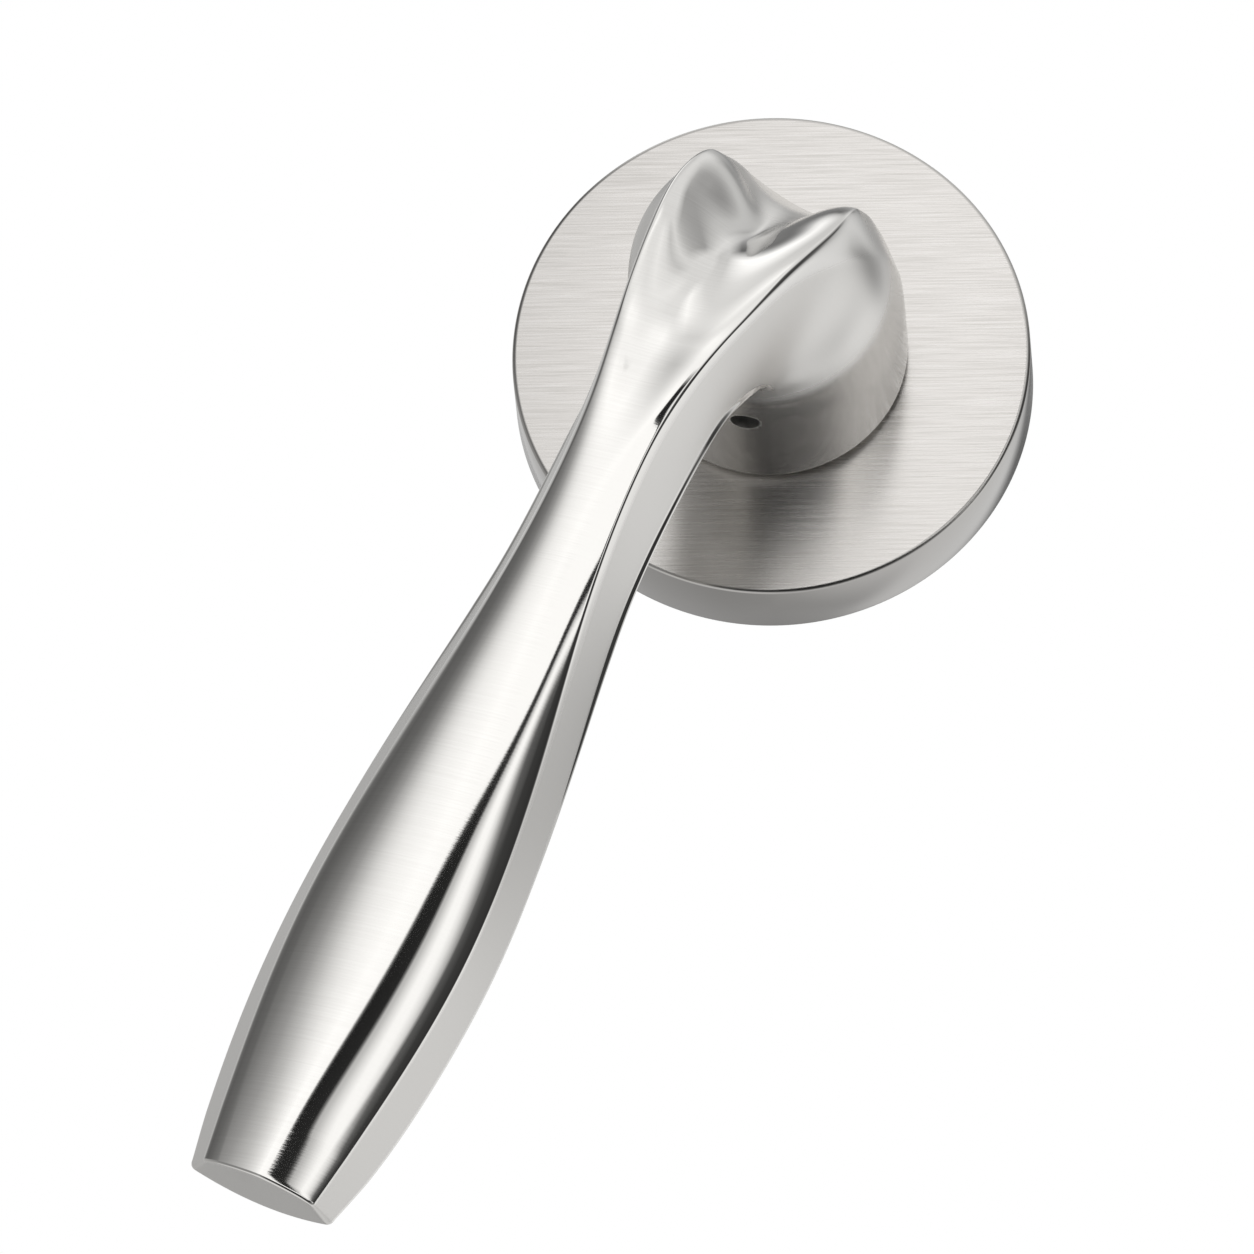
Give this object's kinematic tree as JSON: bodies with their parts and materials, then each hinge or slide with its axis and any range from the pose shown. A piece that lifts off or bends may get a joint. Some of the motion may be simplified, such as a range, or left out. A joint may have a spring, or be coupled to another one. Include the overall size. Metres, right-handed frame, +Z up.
{
  "type": "door lever handle",
  "caption": "Door lever handle: a sculpted arm with twin ridges and a cleft shoulder on a round sprung rose, turning a square spindle through the door.",
  "frame": {"origin": "on the spindle's axis at the rose's back, where it lies on the door", "axes": "+Z up the door, -Y out of the door towards the user, -X along the arm at rest; +Y into the door"},
  "size_m": [0.142, 0.1023, 0.052],
  "materials": {
    "satin_nickel_lever": "satin nickel plate on a casting, polished front face",
    "satin_nickel_rose": "line-brushed satin nickel",
    "zinc_plated_steel": "bright zinc plate",
    "blackened_steel": "black oxide",
    "pressed_steel": "plain pressed steel",
    "spring_steel": "drawn spring steel",
    "zinc_casting": "bare zinc die casting",
    "black_nylon": "moulded nylon",
    "white_acetal": "moulded acetal",
    "rubber": "nitrile rubber"
  },
  "bodies": {
    "rose": {"rose_cover": "satin_nickel_rose", "glide_ring": "black_nylon", "back_plate": "zinc_plated_steel", "spring_housing": "zinc_casting", "neck_bush": "white_acetal", "cover_ring": "rubber", "return_spring": "spring_steel", "spring_anchor_pin": "pressed_steel", "rest_stop_pin": "pressed_steel", "travel_stop_pin": "pressed_steel", "bolt_post_left": "zinc_plated_steel", "bolt_post_right": "zinc_plated_steel", "housing_screw_1": "zinc_plated_steel", "housing_screw_2": "zinc_plated_steel", "housing_screw_3": "zinc_plated_steel"},
    "lever": {"lever": "satin_nickel_lever", "spindle": "zinc_plated_steel", "grub_screw": "blackened_steel", "drive_plate": "pressed_steel", "circlip": "spring_steel", "thrust_washer": "pressed_steel"}
  },
  "joints": [
    {"name": "lever_turn", "type": "hinge", "parent": "rose", "child": "lever", "pos_m": [0, 0, 0], "axis": [0, -1, 0], "range_deg": [0, 40], "stiffness_Nm_per_rad": 0.14, "springref_deg": -91.67, "deforming": ["return_spring"]}
  ]
}
